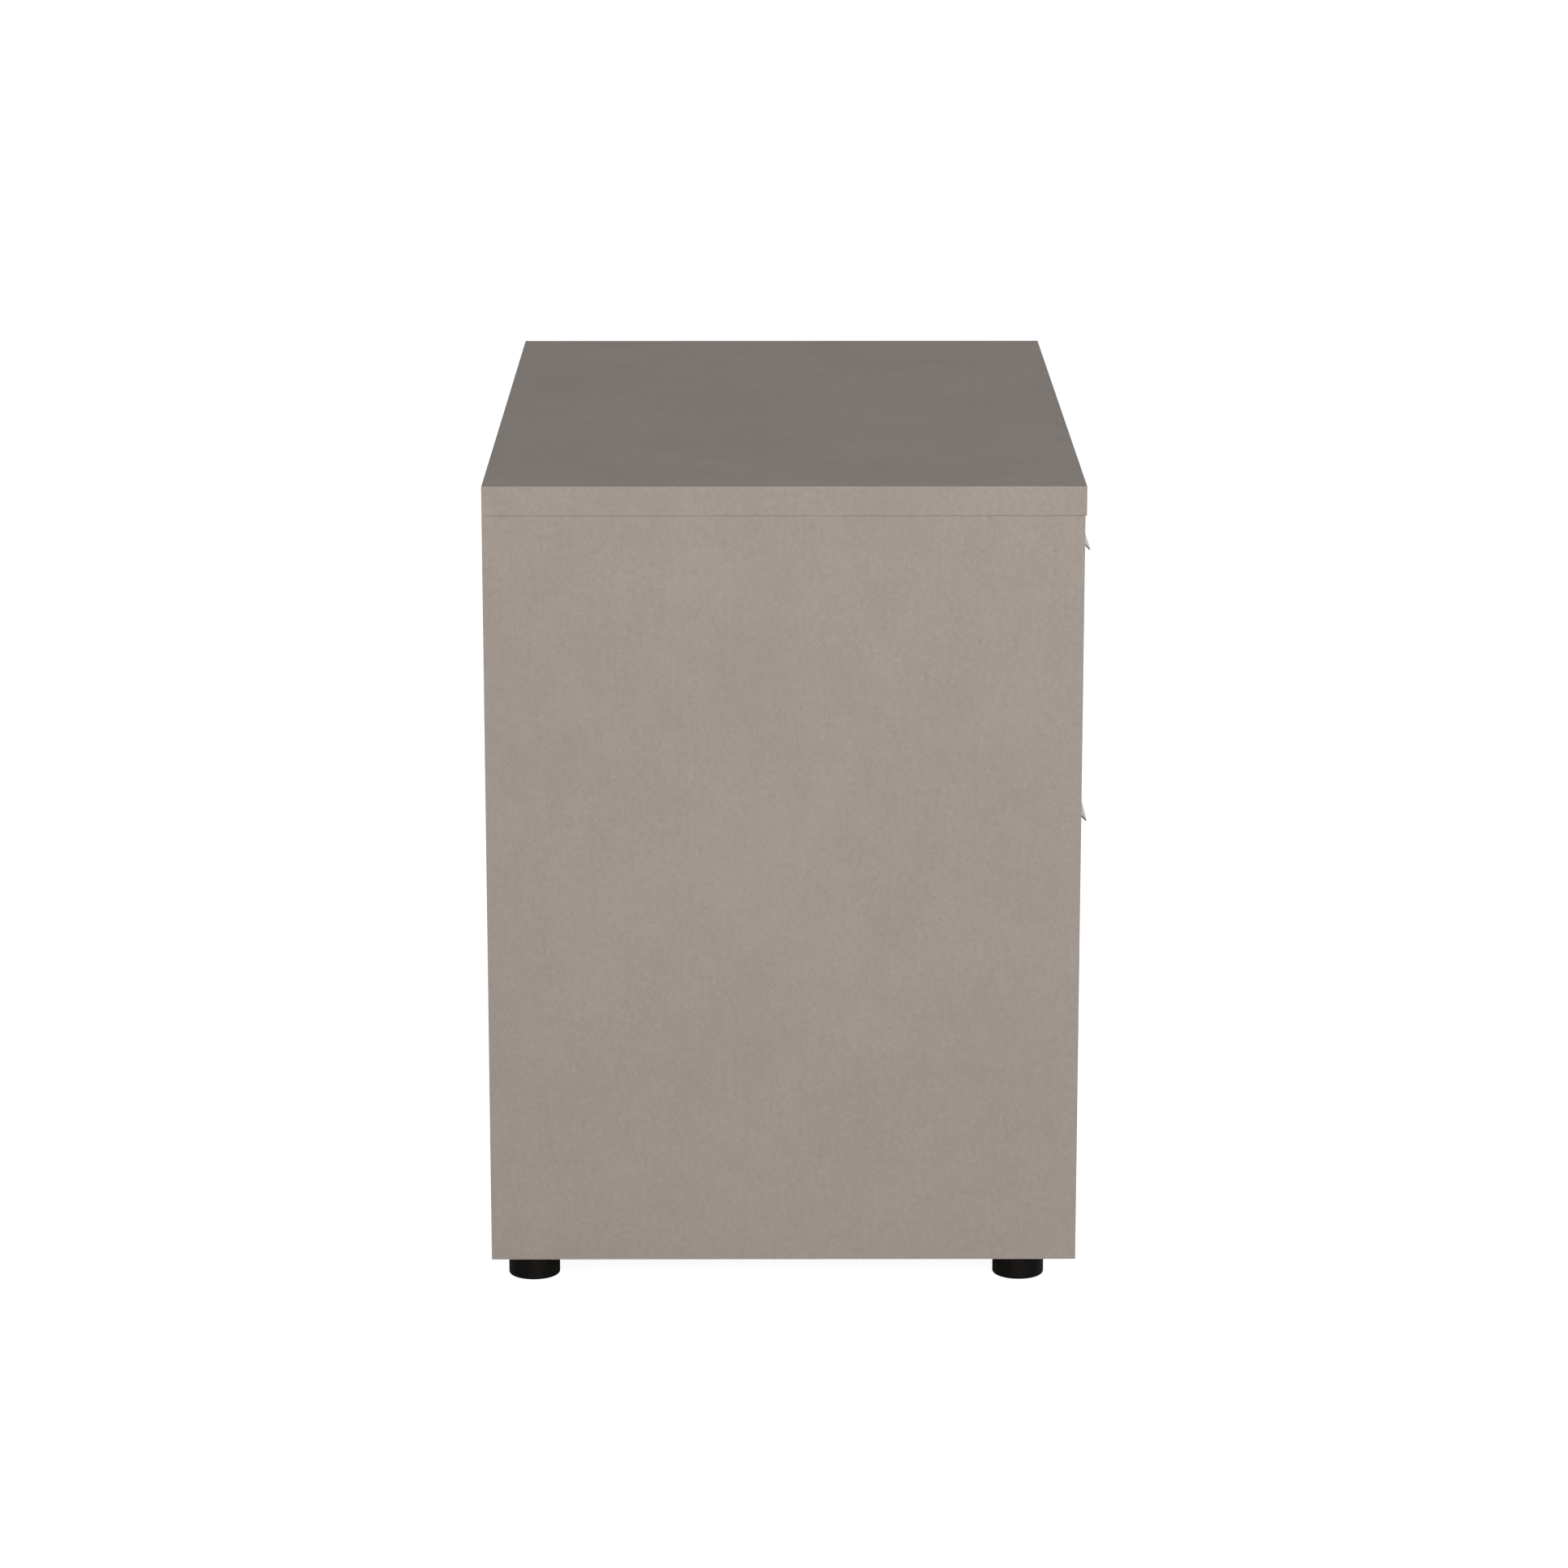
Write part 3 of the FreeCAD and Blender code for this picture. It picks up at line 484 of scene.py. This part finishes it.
def screw_shape(head_radius, shank_radius, head_height, length):
    """A domed head with a cross recess on a ringed shank: its top at the origin, its shank along -Z."""
    dome = [(head_radius * math.sin(a), -head_height * DOME_DROP * (1 - math.cos(a)))
            for a in (math.radians(degrees) for degrees in DOME_ANGLES)]
    rim = [(head_radius, -head_height * RIM_DROP), (head_radius, -head_height)]
    root = shank_radius * THREAD_ROOT
    pitch = shank_radius * THREAD_PITCH
    height = -head_height - pitch
    profile = [(0, 0)] + dome + rim + [(root, -head_height)]
    while height > -length + POINT_LENGTH * shank_radius:
        profile += [(root, height + pitch * THREAD_FLANK), (shank_radius, height)]
        height -= pitch
    profile += [(root, height), (0, -length)]
    body = turned("screw", profile)
    depth = max(head_height * RECESS_DEPTH, shank_radius * RECESS_LEAST)

    def sunk(u, w, s):
        shrink = 1 - (1 - RECESS_TAPER) * s / depth
        return (u * shrink, w * shrink, RECESS_START - s)

    cross = cross_outline(head_radius * RECESS_REACH, head_radius * RECESS_WIDTH)
    recess = prism("recess", cross, sunk, 0, depth)
    return smoothed(cut(body, recess), SCREW_CREASE)


def cross_screws(node, material):
    """The node's screws with domed heads and cross recesses, as one piece."""
    bm = bmesh.new()
    pattern = None
    for number, places in enumerate(islands(node)):
        end, out, head_radius, shank_radius, head_height, length = screw_facts(places)
        if pattern is None:
            pattern = screw_shape(head_radius, shank_radius, head_height, length)
        turn = Matrix.Rotation(TURN_BETWEEN_SCREWS * number, 4, "Z")
        place = Matrix.Translation(end) @ out.to_track_quat("Z", "Y").to_matrix().to_4x4() @ turn
        copy = pattern.data.copy()
        copy.transform(place)
        bm.from_mesh(copy)
        bpy.data.meshes.remove(copy)
    bpy.data.objects.remove(pattern)
    mesh = bpy.data.meshes.new(node + "_threaded")
    bm.to_mesh(mesh)
    bm.free()
    piece = bpy.data.objects.new(node + "_threaded", mesh)
    bpy.context.scene.collection.objects.link(piece)
    stands_for(smoothed(piece, SCREW_CREASE), node, material)


# Pressed drawer boxes

def hump(offset):
    """Height of a bead across its width, from 1 in the middle to 0 at its edges."""
    return 0.5 + 0.5 * math.cos(math.pi * min(abs(offset) / BEAD_HALF, 1.0))


def across_beads(start, end, middles):
    """(place, lift) along a line that crosses beads."""
    pairs = [(start, 0.0)]
    for middle in middles:
        for k in range(-BEAD_STEPS, BEAD_STEPS + 1):
            offset = BEAD_HALF * k / BEAD_STEPS
            pairs.append((middle + offset, hump(offset)))
    return pairs + [(end, 0.0)]


def along_beads(start, end, margin):
    """(place, lift) along a line that follows beads: flat up to the margin, then up to full depth."""
    rise = [(BEAD_HALF * k / BEAD_STEPS, hump(BEAD_HALF * (1 - k / BEAD_STEPS)))
            for k in range(BEAD_STEPS + 1)]
    up = [(start + margin + offset, lift) for offset, lift in rise]
    down = [(end - margin - offset, lift) for offset, lift in reversed(rise)]
    return [(start, 0.0)] + up + down + [(end, 0.0)]


def hem_line(top):
    """(height, depth) of a hem's middle: over the top and down inside."""
    middle = HEM_WIDTH / 2
    radius = middle - SHEET / 2
    over = arc((middle, top - middle), radius, 180, 0)
    return [(w, u) for u, w in over] + [(top - HEM_HEIGHT, HEM_WIDTH - SHEET / 2)]


def pressed_sheet(name, rows):
    """A sheet of even thickness whose middle surface is a grid of points."""
    bm = bmesh.new()
    grid = [[bm.verts.new(point) for point in row] for row in rows]
    for near, far in zip(grid, grid[1:]):
        for i in range(len(near) - 1):
            bm.faces.new((near[i], near[i + 1], far[i + 1], far[i]))
    piece = piece_from(name, bm)
    thick = piece.modifiers.new("thickness", "SOLIDIFY")
    thick.thickness = SHEET
    thick.offset = 0
    thick.use_even_offset = True
    return smoothed(applied(piece))


def bead_lifts(low, high, shares):
    """(height, lift) up a hemmed sheet whose beads lie at shares of its height."""
    return across_beads(low.z, high.z - HEM_WIDTH / 2, [low.z + (high.z - low.z) * s for s in shares])


def hemmed_section(lifts, lift, top):
    """(height, depth) of a hemmed sheet's middle where its beads have risen by a share, lift."""
    face = [(z, SHEET / 2 + BEAD_DEPTH * lift * bead) for z, bead in lifts[:-1]]
    return face + hem_line(top)


def pressed_side(drawer, side, shares, material):
    """A box side with beads pressed inwards and its top edge hemmed over."""
    node = drawer + "_box_side_" + side
    low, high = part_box(node)
    sign = 1 if side == "right" else -1
    outer = sign * max(abs(low.x), abs(high.x))
    lifts = bead_lifts(low, high, shares)
    rows = []
    for y, lift in along_beads(low.y, high.y, SIDE_BEAD_MARGIN):
        section = hemmed_section(lifts, lift, high.z)
        rows.append([(outer - sign * depth, y, z) for z, depth in section])
    stands_for(pressed_sheet(node + "_pressed", rows), node, material)


def pressed_back(drawer, shares, material):
    """The box's back with beads pressed forwards and its top edge hemmed over."""
    node = drawer + "_box_back"
    low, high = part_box(node)
    lifts = bead_lifts(low, high, shares)
    rows = []
    for x, lift in along_beads(low.x, high.x, BACK_BEAD_MARGIN):
        section = hemmed_section(lifts, lift, high.z)
        rows.append([(x, high.y - depth, z) for z, depth in section])
    stands_for(pressed_sheet(node + "_pressed", rows), node, material)


def pressed_base(drawer, material):
    """The box's base with ribs pressed upwards from front to back."""
    node = drawer + "_box_base"
    low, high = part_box(node)
    middle = (low.z + high.z) / 2
    step = (high.x - low.x) / (BASE_RIBS + 1)
    level = across_beads(low.x, high.x, [low.x + step * (i + 1) for i in range(BASE_RIBS)])
    rows = []
    for y, lift in along_beads(low.y, high.y, SIDE_BEAD_MARGIN):
        rows.append([(x, y, middle + BEAD_DEPTH * lift * bead) for x, bead in level])
    stands_for(pressed_sheet(node + "_pressed", rows), node, material)


# Rolled runners. u runs from the carcass side to the drawer, w up from the runner's middle.

BALL_U = 7.4 * MM
CABINET_LIP, CABINET_LIP_RADIUS = (BALL_U, 19.55 * MM), 2.35 * MM
CABINET_CORNER, CABINET_CORNER_RADIUS = (3.6 * MM, 18.9 * MM), 3.0 * MM
MIDDLE_EDGE = (10.0 * MM, 17.4 * MM)
MIDDLE_CORNER, MIDDLE_CORNER_RADIUS = (5.7 * MM, 14.9 * MM), 2.5 * MM
DRAWER_LIP, DRAWER_LIP_RADIUS = (BALL_U, 15.2 * MM), 2.3 * MM
DRAWER_CORNER, DRAWER_CORNER_RADIUS = (9.6 * MM, 10.4 * MM), 2.5 * MM
SLOT_CUT = (-1 * MM, 14 * MM)  # the depths that a slot's cutter spans, past the whole runner


def upper_and_lower(half_line):
    """A line from its upper half, which starts at the lip and ends at the web."""
    return half_line + [(u, -w) for u, w in reversed(half_line)]


def cabinet_line():
    """Web on the carcass, corners rolled, lips curled part of the way round the outer balls."""
    lip = arc(CABINET_LIP, CABINET_LIP_RADIUS, 28, 90)
    corner = arc(CABINET_CORNER, CABINET_CORNER_RADIUS, 90, 180)
    return upper_and_lower(lip + corner)


def middle_line():
    """Web between the others, flanges between the two rows of balls."""
    corner = arc(MIDDLE_CORNER, MIDDLE_CORNER_RADIUS, 90, 180)
    return upper_and_lower([MIDDLE_EDGE] + corner)


def drawer_line():
    """Web on the drawer box, lips curled part of the way round the inner balls."""
    lip = arc(DRAWER_LIP, DRAWER_LIP_RADIUS, 218, 270)
    corner = arc(DRAWER_CORNER, DRAWER_CORNER_RADIUS, 90, 0)
    return upper_and_lower(lip + corner)


def slot_outline(length, width):
    """A slot with round ends, along its first axis."""
    reach = (length - width) / 2
    return arc((reach, 0), width / 2, -90, 90) + arc((-reach, 0), width / 2, 90, 270)


def runner_member(drawer, member, side, line, punched, material):
    """One rolled channel. punched lists its web's slots: (share of the length, length, width)."""
    node = "_".join((drawer, "runner", member, "member", side))
    low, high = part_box(node)
    sign = 1 if side == "right" else -1
    outer_node = "_".join((drawer, "runner_cabinet_member", side))
    inside = max(abs(corner.x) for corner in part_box(outer_node))
    middle = (low.z + high.z) / 2

    def place(u, w, s):
        return (sign * (inside - u), s, middle + w)

    piece = prism(node + "_rolled", strip_outline(line, SHEET), place, low.y, high.y)
    for share, length, width in punched:
        y = low.y + (high.y - low.y) * share

        def across(u, w, s):
            return (sign * (inside - s), y + u, middle + w)

        cut(piece, prism("slot", slot_outline(length, width), across, *SLOT_CUT))
    stands_for(smoothed(piece), node, material)


MEMBERS = {
    "cabinet": (cabinet_line, [(0.22, 14 * MM, 6 * MM), (0.36, 6.4 * MM, 6.4 * MM),
                               (0.64, 6.4 * MM, 6.4 * MM), (0.78, 14 * MM, 6 * MM)]),
    "middle": (middle_line, [(0.12, 22 * MM, 9 * MM), (0.88, 22 * MM, 9 * MM)]),
    "drawer": (drawer_line, [(0.08, 9 * MM, 5 * MM), (0.32, 14 * MM, 6 * MM),
                             (0.68, 14 * MM, 6 * MM), (0.92, 9 * MM, 5 * MM)]),
}


# Stage

FLOOR_HALF = 30.0
FLOOR_GREY = (0.55, 0.55, 0.55, 1)
FLOOR_GLOW = 0.90  # seen by the camera only, so it lights nothing
HORIZON = (0.75, 0.735, 0.715, 1)
OVERHEAD = (0.205, 0.213, 0.224, 1)
OVERHEAD_FROM = 0.75  # sine of the elevation
CAMERA_DISTANCE = 4.161  # from the left side
CAMERA_Y = 0.0248
CAMERA_HEIGHT = 1.447
AIM_Y = 0.0114
AIM_HEIGHT = 0.442
FOCAL_LENGTH = 117.3  # millimetres, on a sensor of the width below
SENSOR_WIDTH = 36.0


def floor():
    """A wide pale floor under the feet."""
    mesh = bpy.data.meshes.new("floor")
    half = FLOOR_HALF
    corners = [(-half, -half, 0), (half, -half, 0), (half, half, 0), (-half, half, 0)]
    mesh.from_pydata(corners, [], [(0, 1, 2, 3)])
    plane = bpy.data.objects.new("floor", mesh)
    bpy.context.scene.collection.objects.link(plane)
    material = bpy.data.materials.new("pale_floor")
    material.use_nodes = True
    tree = material.node_tree
    principled = tree.nodes["Principled BSDF"]
    principled.inputs["Base Color"].default_value = FLOOR_GREY
    principled.inputs["Roughness"].default_value = 0.9
    principled.inputs["Specular IOR Level"].default_value = 0.1
    glow = tree.nodes.new("ShaderNodeEmission")
    glow.inputs["Strength"].default_value = FLOOR_GLOW
    path = tree.nodes.new("ShaderNodeLightPath")
    seen = tree.nodes.new("ShaderNodeMixShader")
    both = tree.nodes.new("ShaderNodeAddShader")
    output = tree.nodes["Material Output"]
    tree.links.new(principled.outputs[0], both.inputs[0])
    tree.links.new(glow.outputs[0], both.inputs[1])
    tree.links.new(path.outputs["Is Camera Ray"], seen.inputs[0])
    tree.links.new(principled.outputs[0], seen.inputs[1])
    tree.links.new(both.outputs[0], seen.inputs[2])
    tree.links.new(seen.outputs[0], output.inputs["Surface"])
    mesh.materials.append(material)


def surroundings():
    """A studio that is bright round the horizon and dimmer and cooler overhead."""
    world = bpy.data.worlds.new("studio")
    bpy.context.scene.world = world
    world.use_nodes = True
    tree = world.node_tree
    place = tree.nodes.new("ShaderNodeTexCoord")
    parts = tree.nodes.new("ShaderNodeSeparateXYZ")
    ramp = tree.nodes.new("ShaderNodeValToRGB")
    tree.links.new(place.outputs["Generated"], parts.inputs[0])
    tree.links.new(parts.outputs["Z"], ramp.inputs[0])
    tree.links.new(ramp.outputs[0], tree.nodes["Background"].inputs["Color"])
    low, high = ramp.color_ramp.elements
    low.position, low.color = 0.0, HORIZON
    high.position, high.color = OVERHEAD_FROM, OVERHEAD
    tree.nodes["Background"].inputs["Strength"].default_value = 1.0


def lamp(name, place, aim, size, watts, colour=(1, 1, 1)):
    """A square soft light that faces a point."""
    data = bpy.data.lights.new(name, "AREA")
    data.shape = "SQUARE"
    data.size = size
    data.energy = watts
    data.color = colour
    light = bpy.data.objects.new(name, data)
    light.location = place
    light.rotation_euler = (Vector(aim) - Vector(place)).to_track_quat("-Z", "Y").to_euler()
    bpy.context.scene.collection.objects.link(light)


def camera():
    """Square on to the left side, from a little above it."""
    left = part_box("side_panel_left")[0].x
    data = bpy.data.cameras.new("camera")
    data.sensor_width = SENSOR_WIDTH
    data.lens = FOCAL_LENGTH
    eye = Vector((left - CAMERA_DISTANCE, CAMERA_Y, CAMERA_HEIGHT))
    aim = Vector((left, AIM_Y, AIM_HEIGHT))
    body = bpy.data.objects.new("camera", data)
    body.location = eye
    body.rotation_euler = (aim - eye).to_track_quat("-Z", "Y").to_euler()
    bpy.context.scene.collection.objects.link(body)
    bpy.context.scene.camera = body


# The whole scene

FINISH = finishes()
dress(FINISH)
for screws_node in SCREW_NODES:
    cross_screws(screws_node, FINISH["zinc_steel"])
for drawer in ("upper", "lower"):
    pressed_back(drawer, BACK_BEADS[drawer], FINISH["drawer_steel"])
    pressed_base(drawer, FINISH["drawer_steel"])
    for side in ("left", "right"):
        pressed_side(drawer, side, SIDE_BEADS[drawer], FINISH["drawer_steel"])
        for member, (line, punched) in MEMBERS.items():
            runner_member(drawer, member, side, line(), punched, FINISH["runner_steel"])
floor()
surroundings()
lamp("key", place=(-4.0, -0.5, 1.35), aim=(0, 0, 0.35), size=2.4, watts=78, colour=(1.0, 0.965, 0.93))
lamp("fill", place=(2.2, -3.7, 1.1), aim=(0.1, 0, 0.35), size=2.2, watts=60)
camera()
bpy.context.scene.view_settings.view_transform = "Standard"
